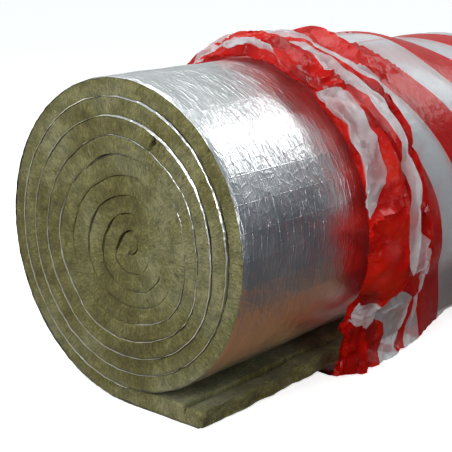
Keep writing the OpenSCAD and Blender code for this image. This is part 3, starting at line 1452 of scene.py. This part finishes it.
FOLD_LINES = (
    FoldLine(FoldKind.BACK,
             (450, 440, 440, 455, 470, 470, 440, 440, 440, 440, 450, 500, 540, 545, 540, 500, 450),
             (1, 3, 8, 14, 20, 20, 15, 8, 6, 4, 3, 3, 3, 2, 2, 1, 1),
             (925, 664, 546, 508, 491, 457, 387, 350, 337, 321, 265, 249, 244, 223, 197, 91, -25)),
    FoldLine(FoldKind.REAR_CREST,
             (400, 400, 410, 408, 408, 406, 405, 408, 410, 414, 426, 455, 480, 485, 480, 440, 400),
             (3, 12, 21, 22, 21, 20, 21, 26, 30, 32, 32, 30, 31, 29, 24, 8, 3),
             (880, 550, 406, 345, 335, 330, 325, 325, 320, 310, 250, 225, 112, 0, -60, -60, -70)),
    FoldLine(FoldKind.REAR_VALLEY,
             (395, 385, 392, 382, 376, 376, 380, 388, 394, 402, 414, 436, 455, 450, 440, 410, 395),
             (1, 4, 12, 19, 21, 19, 14, 8, 8, 8, 9, 8, 4, 3, 3, 1, 1),
             (845, 500, 356, 270, 250, 248, 250, 268, 262, 250, 205, 180, 98, -20, -100, -100,
              -105)),
    FoldLine(FoldKind.MIDDLE_CREST,
             (370, 360, 372, 362, 352, 348, 342, 359, 366, 374, 388, 405, 425, 428, 420, 390, 370),
             (3, 13, 26, 29, 31, 31, 31, 34, 36, 36, 33, 31, 31, 28, 22, 8, 3),
             (795, 452, 311, 190, 170, 170, 180, 190, 160, 135, 130, 125, 90, -40, -112, -114,
              -155)),
    FoldLine(FoldKind.FRONT_VALLEY,
             (350, 340, 352, 340, 326, 320, 318, 337, 343, 350, 368, 390, 402, 400, 390, 370, 350),
             (1, 4, 14, 21, 25, 23, 18, 15, 15, 15, 13, 10, 6, 4, 2, 1, 1),
             (745, 402, 261, 120, 105, 110, 125, 155, 80, 66, 75, 90, 75, -50, -118, -120, -205)),
    FoldLine(FoldKind.FRONT_CREST,
             (330, 325, 332, 318, 302, 294, 290, 307, 314, 322, 334, 346, 362, 360, 350, 340, 330),
             (3, 12, 28, 35, 40, 41, 38, 35, 35, 35, 35, 35, 35, 31, 24, 9, 3),
             (690, 354, 190, -10, 12, 45, 75, 125, -10, -12, 10, 82, 60, -58, -132, -140, -260)),
    FoldLine(FoldKind.LIP,
             (320, 310, 312, 294, 274, 252, 246, 255, 257, 258, 257, 268, 296, 302, 295, 315, 320),
             (1.5, 5, 8, 14, 21, 28, 22, 21, 22, 25, 30, 34, 31, 22, 13, 3, 1.5),
             (605, 291, 110, -50, -60, -55, -18, 45, 0, -75, -70, 40, 42, -66, -150, -165, -345)),
    FoldLine(FoldKind.UNDER,
             (335, 320, 320, 306, 292, 281, 277, 281, 284, 289, 300, 316, 340, 340, 328, 330, 335),
             (0.8, 1.5, 2, 3, 4, 6, 5, 4, 4, 3, 2, 2, 2, 2, 2, 1, 0.8),
             (565, 251, 70, -90, -100, -95, -58, 5, -40, -115, -110, 0, 2, -106, -190, -205,
              -385)),
    FoldLine(FoldKind.FREE_EDGE,
             (350, 350, 348, 345, 342, 345, 345, 348, 350, 352, 360, 376, 388, 388, 380, 370, 350),
             (0.6,) * 17,
             (515, 200, 20, -140, -150, -145, -108, -45, -90, -165, -160, -50, -48, -156, -240,
              -255, -435)),
)


@dataclass
class PackingSleeve:
    """The printed film: tight round the roll, turned in over the far end and
    pushed back off the near end into folds."""

    winding: Winding
    play: float = 0.0022  # between the roll and the tight film
    round_points: int = 300
    panel_points: int = 11  # points across each panel between two fold lines
    tight_points: int = 46  # rows of points along the tight film
    turned_points: int = 16  # and over the far end
    opening: float = 0.13  # radius left open at the far end
    floor: float = 0.0007  # height of the film where it lies on the floor
    lip_turn: int = 3  # points past the lip where the layer behind shows through
    cut_length: float = 1.30  # the roll's length and 150 mm to turn in at each end
    # Floor corner of the film, and how far its straight run down to there
    # sags in, at distances from the near end
    corner_at: tuple[float, ...] = (0.20, 0.30, 0.35, 0.45, 0.57, 0.65, 0.75, 1.0)
    corner: tuple[float, ...] = (0.185, 0.190, 0.222, 0.222, 0.214, 0.190, 0.168, 0.167)
    bow_at: tuple[float, ...] = (0.22, 0.30, 0.5, 0.8, 1.0)
    bow: tuple[float, ...] = (0.040, 0.036, 0.02, 0.01, 0.006)
    # Kinks of the fold lines: share of the full size, degrees between two and
    # what is added to the line's seed. The first kinks shift a line along the
    # roll by up to its wander, the second make it higher and lower.
    kinks_along: tuple[tuple[float, float, int], ...] = ((1.0, 27.0, 0), (0.35, 9.0, 1))
    kinks_high: tuple[tuple[float, float, int], ...] = ((0.14, 19.0, 2), (0.08, 8.0, 3))
    wander: float = 0.0095
    edge_wander: float = 0.004  # of the hidden free edge
    line_seed: int = 60
    seeds_apart: int = 7  # from one line to the next
    knot_seed: int = 100
    knot_row: int = 3
    knot_play: float = 0.35  # share of their distance by which kinks are moved
    # Where the film stands off the roll's top, behind the folds
    loose_run: Stretch = Stretch(0.44, 0.06, 0.80, 0.16)
    loose_side: Stretch = Stretch(128, 38, 222, 34)  # degrees round the roll
    loose_high: float = 0.026
    loose_uneven: Bumps = Bumps(0.008, 0.07, 30, 58)
    # Pleats of the far end, whose widths are angles
    pleats: Ripple = Ripple(0.004, 1 / 11, 47)
    opening_uneven: Ripple = Ripple(0.05, 1 / 5, 48)
    end_uneven: Bumps = Bumps(0.002, 1 / 9, 1 / 4, 49)
    # Creases of the folds, and of the tight film
    crumples: tuple[Bumps, ...] = (
        Bumps(0.0050, 0.085, 0.050, 51, True), Bumps(0.0030, 0.036, 0.026, 55, True),
        Bumps(0.0008, 0.015, 0.013, 52, True))
    ripples: tuple[Bumps, ...] = (
        Bumps(0.0022, 0.075, 0.30, 53, True), Bumps(0.0010, 0.028, 0.11, 54, True))
    grip: float = 0.10  # how firmly the folds keep their place while settling
    pressed: float = 0.0030  # film lower than this lies on the roll
    slack: float = 0.075  # share by which the film is too large for its place
    film_bending: float = 0.3
    settle_frames: int = 13
    finish: PrintedFilm = field(default_factory=PrintedFilm)

    def outline(self, angle: Array, reach: Array, bow: Array) -> Array:
        """Radius of the wrapped film about the roll's centre.

        Args:
            angle: Angle from straight down towards +Y.
            reach: Distance of the floor corner from the roll's middle.
            bow: How far the straight run to the floor sags in.

        Returns:
            The radius.
        """
        w = self.winding
        grown, rise = w.left_radius + self.play, w.mat / 2
        right = grown - rise
        down = np.cos(angle)
        ring = -rise * down + np.sqrt(np.maximum(right ** 2 - (rise * np.sin(angle)) ** 2, 0))
        radius = np.where(np.sin(angle) >= 0, grown, ring)
        middle = w.centre_z - self.floor
        # Straight run from the floor corner up to where it touches the roll
        drop = middle + rise
        touch = np.arctan2(reach, drop) + np.arccos(np.clip(right / np.hypot(reach, drop), -1, 1))
        run_y = -right * np.sin(touch) + reach
        run_z = rise - right * np.cos(touch) + middle
        ray_y, ray_z = np.sin(angle), -np.cos(angle)
        cross = ray_y * run_z - ray_z * run_y
        hit = (-reach * run_z + middle * run_y) / np.where(np.abs(cross) < 1e-6, 1e-6, cross)
        corner = np.arctan2(reach, middle)
        below = np.mod(-angle, FULL_TURN)
        on_run = (below > corner) & (below < touch)
        share = np.clip((below - corner) / (touch - corner), 0, 1)
        sagged = np.where(on_run, hit - bow * np.sin(math.pi * share) ** 1.2, 0)
        radius = np.where(on_run, np.maximum(sagged, radius), radius)
        floor_line = middle / np.maximum(down, 0.05)
        radius = np.where(below <= corner, np.maximum(floor_line, radius), radius)
        return np.where(down > 0, np.minimum(radius, floor_line), radius)

    def kinked(self, side: Array, cell: float, seed: int) -> Array:
        """Random offsets that run straight between kinks and close up round
        the roll.

        Args:
            side: Degrees round the roll.
            cell: Degrees between two kinks.
            seed: As in lattice.

        Returns:
            Offsets from -1 to 1.
        """
        knots = np.arange(0, 360 + cell, cell)
        numbers = np.arange(len(knots))
        shifts = lattice(numbers, np.full(len(knots), self.knot_row), seed + self.knot_seed)
        knots[1:-1] += self.knot_play * cell * shifts[1:-1]
        heights = lattice(numbers, np.zeros(len(knots)), seed)
        heights[-1] = heights[0]
        return np.interp(side, knots, heights)

    def line_at(self, line: FoldLine, side: Array) -> tuple[Array, Array, Array]:
        """One fold line round the roll, in metres.

        Args:
            line: The fold line.
            side: Degrees round the roll.

        Returns:
            Its distance from the near end, height and flat place.
        """
        seed = self.line_seed + list(FoldKind).index(line.kind) * self.seeds_apart
        run, high, band = (np.interp(side, MARKS, values) / 1000
                           for values in (line.run, line.high, line.band))
        free = line.kind is FoldKind.FREE_EDGE
        far = (self.edge_wander if free else self.wander) * (0.4 + 0.6 * ease(high / 0.02))
        run = run + far * sum(share * self.kinked(side, cell, seed + more)
                              for share, cell, more in self.kinks_along)
        first, second = (share * self.kinked(side, cell, seed + more)
                         for share, cell, more in self.kinks_high)
        high = high * (1 + first + second)
        arc = self.winding.left_radius * np.radians(side - 180)
        return run, high, band + self.finish.slant * arc

    def meridians(self, angle: Array) -> list[Array]:
        """The pushed-back film at every angle.

        Args:
            angle: Angles round the roll, of which the last closes the ring.

        Returns:
            Distance from the near end, height over the roll and flat
            coordinate, each with one row to an angle.
        """
        side = np.degrees(np.mod(angle, FULL_TURN))
        lines = zip(*(self.line_at(line, side) for line in FOLD_LINES))
        runs, highs, flats = (np.stack(values, 1) for values in lines)
        flats[:, 0] = runs[:, 0]
        between = np.linspace(0, 1, self.panel_points + 1)[1:]
        made = []
        for values in (runs, highs, flats):
            values[-1] = values[0]
            panels = values[:, :-1, None] + np.diff(values, axis=1)[:, :, None] * between
            made.append(np.concatenate([values[:, :1], panels.reshape(len(angle), -1)], 1))
        return made

    def loose_top(self, rows: Array, run: Array) -> Array:
        """Height of the slack film over the top of the roll behind the folds.

        Args:
            rows: Angles round the roll.
            run: Distances from the near end.

        Returns:
            The height.
        """
        side = np.degrees(np.mod(rows, FULL_TURN))
        high = self.loose_high + self.loose_uneven.at(run, side)
        return self.loose_run.share(run) * self.loose_side.share(side) * high

    def surface(self) -> tuple[Array, ...]:
        """All points of the film, from the far opening to the free edge.

        Returns:
            Angle, distance from the near end, X, radius, flat coordinate and
            height over the roll.
        """
        w = self.winding
        angle = np.linspace(0, FULL_TURN, self.round_points + 1)
        rows = angle[:, None]
        fold_run, fold_high, fold_flat = self.meridians(angle)
        back = fold_run[:, :1]
        tight_run = back + (1.0 - back) * spread((1.0, 0.0, 1 / self.tight_points))[None, :-1]
        settle = ease(1 - (tight_run - back) / 0.06)
        tight_high = np.maximum(fold_high[:, :1] * settle, self.loose_top(rows, tight_run))
        turned = spread((0.0, 1.0, 1 / self.turned_points))[None, :-1]
        gone_in = w.left_radius - self.opening
        run = np.concatenate([1.0 + 0 * rows + 0 * turned, tight_run, fold_run], 1)
        flat = np.concatenate([1.0 + gone_in * (1 - turned) + 0 * rows, tight_run, fold_flat], 1)
        high = np.concatenate([0 * rows + 0 * turned, tight_high, fold_high], 1)
        radius = self.outline(rows, np.interp(run, self.corner_at, self.corner),
                              np.interp(run, self.bow_at, self.bow)) + high
        # The far end: drawn in to the opening in shallow pleats
        end = slice(0, turned.shape[1])
        edge = self.opening * (1 + self.opening_uneven.at(rows))
        radius[:, end] = edge + (radius[:, end] - edge) * turned
        x = w.near_x + run
        x[:, end] = (w.far_x + 0.0085 + self.pleats.at(rows) * (1 - turned)
                     + self.end_uneven.at(rows, turned))
        rounded = ease((w.far_x - x) / 0.02)
        at_rim = (run > 0.97) & (run < 1.0)
        radius = np.where(at_rim, radius - 0.0015 * (1 - rounded), radius)
        return rows, run, x, radius, flat, high

    def hidden_layer(self, width: int) -> Array:
        """Which columns of the film lie tucked under the folds.

        Args:
            width: Number of columns.

        Returns:
            One for the tucked ones, nothing for the rest, in a row.
        """
        lip = list(FoldKind).index(FoldKind.LIP)
        behind = (len(FOLD_LINES) - 1 - lip) * self.panel_points
        columns = np.arange(width)[None, :] - (width - behind)
        return (columns > self.lip_turn).astype(float)

    def crumpled(self, rows: Array, run: Array, flat: Array, high: Array) -> Array:
        """Height of the creases over the smooth film.

        Args:
            rows: Angles round the roll.
            run: Distances from the near end.
            flat: Flat coordinates.
            high: Heights of the folds.

        Returns:
            The height.
        """
        arc = rows * self.winding.left_radius
        # Slack runs with the stripes on the tight film
        lean = flat - self.finish.slant * arc
        tight = sum(layer.above(lean, arc) for layer in self.ripples)
        folded = ease(high / 0.012) * ease((0.60 - run) / 0.12)
        folded = folded * (1 - 0.8 * self.hidden_layer(run.shape[1]))
        return tight + folded * sum(layer.at(arc, flat) for layer in self.crumples)

    def mark_held(self, strip: bpy.types.Object, run: Array, high: Array) -> None:
        """Marks how firmly each point is held while the film settles: wholly
        where it is tight or pressed on the roll, and hardly in the folds.

        Args:
            strip: The film.
            run: Distances of its points from the near end.
            high: Heights of the folds.
        """
        held = strip.vertex_groups.new(name="held")
        firm = 1 - ease((0.62 - run) / 0.10) * (1 - self.grip)
        firm = np.round(np.where(high < self.pressed, 1.0, firm).ravel(), 2)
        for level in np.unique(firm):
            held.add([int(i) for i in np.nonzero(firm == level)[0]], float(level), "REPLACE")

    def pressed_on(self) -> bpy.types.Object:
        """Adds a plain cylinder for the film to settle on.

        Returns:
            The cylinder, in the roll's place.
        """
        w = self.winding
        bpy.ops.object.select_all(action="DESELECT")
        bpy.ops.mesh.primitive_cylinder_add(
            vertices=160, radius=w.left_radius + 0.0005, depth=w.far_x - w.near_x,
            location=(0, 0, w.centre_z), rotation=(0, math.pi / 2, 0))
        stand_in = bpy.context.object
        stand_in.modifiers.new("press", "COLLISION")
        stand_in.collision.thickness_outer = 0.001
        stand_in.collision.cloth_friction = 12
        return stand_in

    def relax(self, strip: bpy.types.Object) -> None:
        """Lets the slack film buckle against the roll as cloth, and keeps the
        result.

        Args:
            strip: The film, marked by mark_held.
        """
        stand_in = self.pressed_on()
        cloth = strip.modifiers.new("settling", "CLOTH")
        settings = cloth.settings
        settings.quality, settings.mass, settings.air_damping = 7, 0.05, 3
        settings.tension_stiffness = settings.compression_stiffness = 20
        settings.shear_stiffness = 10
        settings.bending_stiffness = self.film_bending
        settings.vertex_group_mass, settings.pin_stiffness = "held", 1.0
        settings.shrink_min = -self.slack
        settings.effector_weights.gravity = 0.1
        cloth.collision_settings.distance_min = 0.001
        cloth.collision_settings.use_self_collision = False
        scene = bpy.context.scene
        cloth.point_cache.frame_start, cloth.point_cache.frame_end = 1, self.settle_frames
        for frame_number in range(1, self.settle_frames + 1):
            scene.frame_set(frame_number)
        only(strip)
        bpy.ops.object.modifier_apply(modifier=cloth.name)
        scene.frame_set(1)
        bpy.data.objects.remove(stand_in)
        settled = np.zeros(3 * len(strip.data.vertices), np.float32)
        strip.data.vertices.foreach_get("co", settled)
        # Points that were pushed under the floor are lifted to it
        settled[2::3] = np.maximum(settled[2::3], self.floor * 0.5)
        strip.data.vertices.foreach_set("co", settled)
        strip.data.update()

    def shaped(self) -> bpy.types.Object:
        """Shapes the film as it is before it settles.

        Returns:
            The film, marked for its material and for settling.
        """
        w = self.winding
        rows, run, x, radius, flat, high = self.surface()
        off_floor = ease((np.abs(np.mod(rows + math.pi, FULL_TURN) - math.pi) - 0.25) / 0.4)
        swell = self.crumpled(rows, run, flat, high)
        radius = radius + np.where(run < 1.0, np.maximum(swell * off_floor, -high + 0.0004), 0)
        x = x + np.where(run < 0.999, 0.6 * swell * off_floor * ease((0.6 - run) / 0.1), 0)
        y = radius * np.sin(rows)
        z = np.maximum(w.centre_z - radius * np.cos(rows), self.floor * 0.5)
        u = (rows - math.pi) * w.left_radius
        x[-1], y[-1], z[-1] = x[0], y[0], z[0]
        strip = shaped_strip("packing_film_sleeve", x, y, z, u, flat, flip=True)
        mark_points(strip, self.finish.layer_map,
                    np.broadcast_to(self.hidden_layer(x.shape[1]), x.shape))
        self.mark_held(strip, run, high)
        merge_seams(strip, 0.00001)
        return strip

    def build(self) -> bpy.types.Object:
        """Builds, settles and dresses the sleeve.

        Returns:
            The sleeve.
        """
        strip = self.shaped()
        self.relax(strip)
        strip.vertex_groups.clear()
        dress(strip, self.finish.material(), 36)
        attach(strip, "root")
        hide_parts("packing_film")
        LOG.info("packing film: %d faces", len(strip.data.polygons))
        return strip


# ----------------------------------------------------------------- the studio


class LightRole(Enum):
    """What each lamp is there for."""

    BAND = "bright band along the foil's upper flank"
    FRONT = "soft light on the end of the roll"
    TOP = "even light from above"
    FILL = "weak light into the shade on the loose side"


@dataclass(frozen=True)
class SoftBox:
    """One square soft lamp. Its power is in watts."""

    role: LightRole
    place: tuple[float, float, float]
    aim: tuple[float, float, float]
    size: float
    power: float

    def build(self) -> bpy.types.Object:
        """Adds the lamp and turns it to its aim.

        Returns:
            The lamp.
        """
        data = bpy.data.lights.new(self.role.name.lower() + "_softbox", "AREA")
        data.shape, data.size, data.energy = "SQUARE", self.size, self.power
        lamp = bpy.data.objects.new(data.name, data)
        bpy.context.scene.collection.objects.link(lamp)
        lamp.location = self.place
        away = Vector(self.aim) - Vector(self.place)
        lamp.rotation_euler = away.to_track_quat("-Z", "Y").to_euler()
        return lamp


@dataclass
class Studio:
    """Floor, lights, sky and camera."""

    lamps: tuple[SoftBox, ...] = (
        SoftBox(LightRole.BAND, (2.6, -0.9, 2.5), (0.0, -0.1, 0.35), 1.6, 37.0),
        SoftBox(LightRole.FRONT, (-2.8, -0.6, 1.4), (-0.4, 0.0, 0.3), 1.5, 55.0),
        SoftBox(LightRole.TOP, (-0.4, 0.8, 3.0), (0.0, 0.0, 0.2), 2.5, 66.0),
        SoftBox(LightRole.FILL, (-0.9, -3.0, 0.9), (-0.1, -0.2, 0.1), 1.4, 16.0),
    )
    board_size: float = 60.0
    board_z: float = -0.0006
    brightest: tuple[float, float, float] = (0.2, 0.5, 0.84)  # that way in the sky
    sky_colours: tuple[tuple[float, str], ...] = (
        (0.0, "#4A4C50"), (0.42, "#484F56"), (0.57, "#7E868D"), (0.72, "#BFC6C9"),
        (0.88, "#A7AEAF"), (1.0, "#C4C9C9"))
    ground_colour: str = "#8E6442"
    eye: tuple[float, float, float] = (-1.6461, -1.2387, 0.7289)
    look: tuple[float, float, float] = (75.866, 1.212, -48.836)  # Euler angles, degrees
    sensor: float = 36.0  # millimetres, as the lens
    lens: float = 85.18

    def floor(self) -> bpy.types.Object:
        """Adds a wide pale board under everything. Mirrors and bounced light do
        not see it: the roll is lit as on a stand, clear of the board.

        Returns:
            The board.
        """
        bpy.ops.object.select_all(action="DESELECT")
        bpy.ops.mesh.primitive_plane_add(size=self.board_size, location=(0, 0, self.board_z))
        board = bpy.context.object
        board.name = "studio_floor"
        board.data.materials.append(StudioFloor().material())
        board.visible_glossy = board.visible_diffuse = False
        return board

    def sky(self) -> None:
        """A pale surround, brightest overhead and behind the roll and dim below."""
        world = bpy.data.worlds.new("pale_surround")
        bpy.context.scene.world = world
        world.use_nodes = True
        tree = world.node_tree
        tree.nodes.clear()
        around = add_node(tree, "TexCoord").outputs["Generated"]
        bright_side = add_node(tree, "VectorMath", {0: around, 1: self.brightest},
                               operation="DOT_PRODUCT")
        spread_out = add_node(tree, "MapRange", {
            "Value": bright_side.outputs["Value"], "From Min": -1.0, "From Max": 1.0})
        tones = add_node(tree, "ValToRGB", {"Fac": spread_out.outputs[0]},
                         stops=self.sky_colours)
        height = add_node(tree, "SeparateXYZ", {"Vector": around})
        low = add_node(tree, "MapRange", {
            "Value": height.outputs["Z"], "From Min": -0.50, "From Max": -0.66})
        toned = add_node(tree, "Mix", {
            MIX_FACTOR: low.outputs[0], MIX_FIRST: tones.outputs["Color"],
            MIX_SECOND: linear(self.ground_colour)}, data_type="RGBA")
        glow = add_node(tree, "Background", {
            "Color": toned.outputs[MIX_RESULT], "Strength": 0.95})
        plain = add_node(tree, "Background", {"Color": linear("#FFFFFF"), "Strength": 1.0})
        seen = add_node(tree, "LightPath")
        both = add_node(tree, "MixShader", {
            0: seen.outputs["Is Camera Ray"], 1: glow.outputs[0], 2: plain.outputs[0]})
        add_node(tree, "OutputWorld", {"Surface": both.outputs[0]})

    def camera(self) -> bpy.types.Object:
        """Adds the camera, in front of the near end and to its loose side.

        Returns:
            The camera.
        """
        data = bpy.data.cameras.new("camera")
        data.sensor_width, data.lens = self.sensor, self.lens
        camera = bpy.data.objects.new("camera", data)
        bpy.context.scene.collection.objects.link(camera)
        camera.location = self.eye
        camera.rotation_euler = tuple(math.radians(a) for a in self.look)
        bpy.context.scene.camera = camera
        bpy.context.scene.view_settings.view_transform = "Standard"
        return camera

    def build(self) -> None:
        """Builds the whole studio."""
        self.floor()
        self.sky()
        for lamp in self.lamps:
            lamp.build()
            LOG.info("lamp: %s", lamp.role.value)
        self.camera()


def main() -> None:
    """Builds the roll piece by piece, then the studio round it."""
    logging.basicConfig(level=logging.INFO, format="%(name)s: %(message)s")
    winding = Winding()
    LOG.info("length of mat wound: %.2f m", winding.along_at(winding.turns))
    WoolMat(winding).build()
    FoilFacing(winding).build()
    PackingSleeve(winding).build()
    Studio().build()


if __name__ == "__main__":
    main()
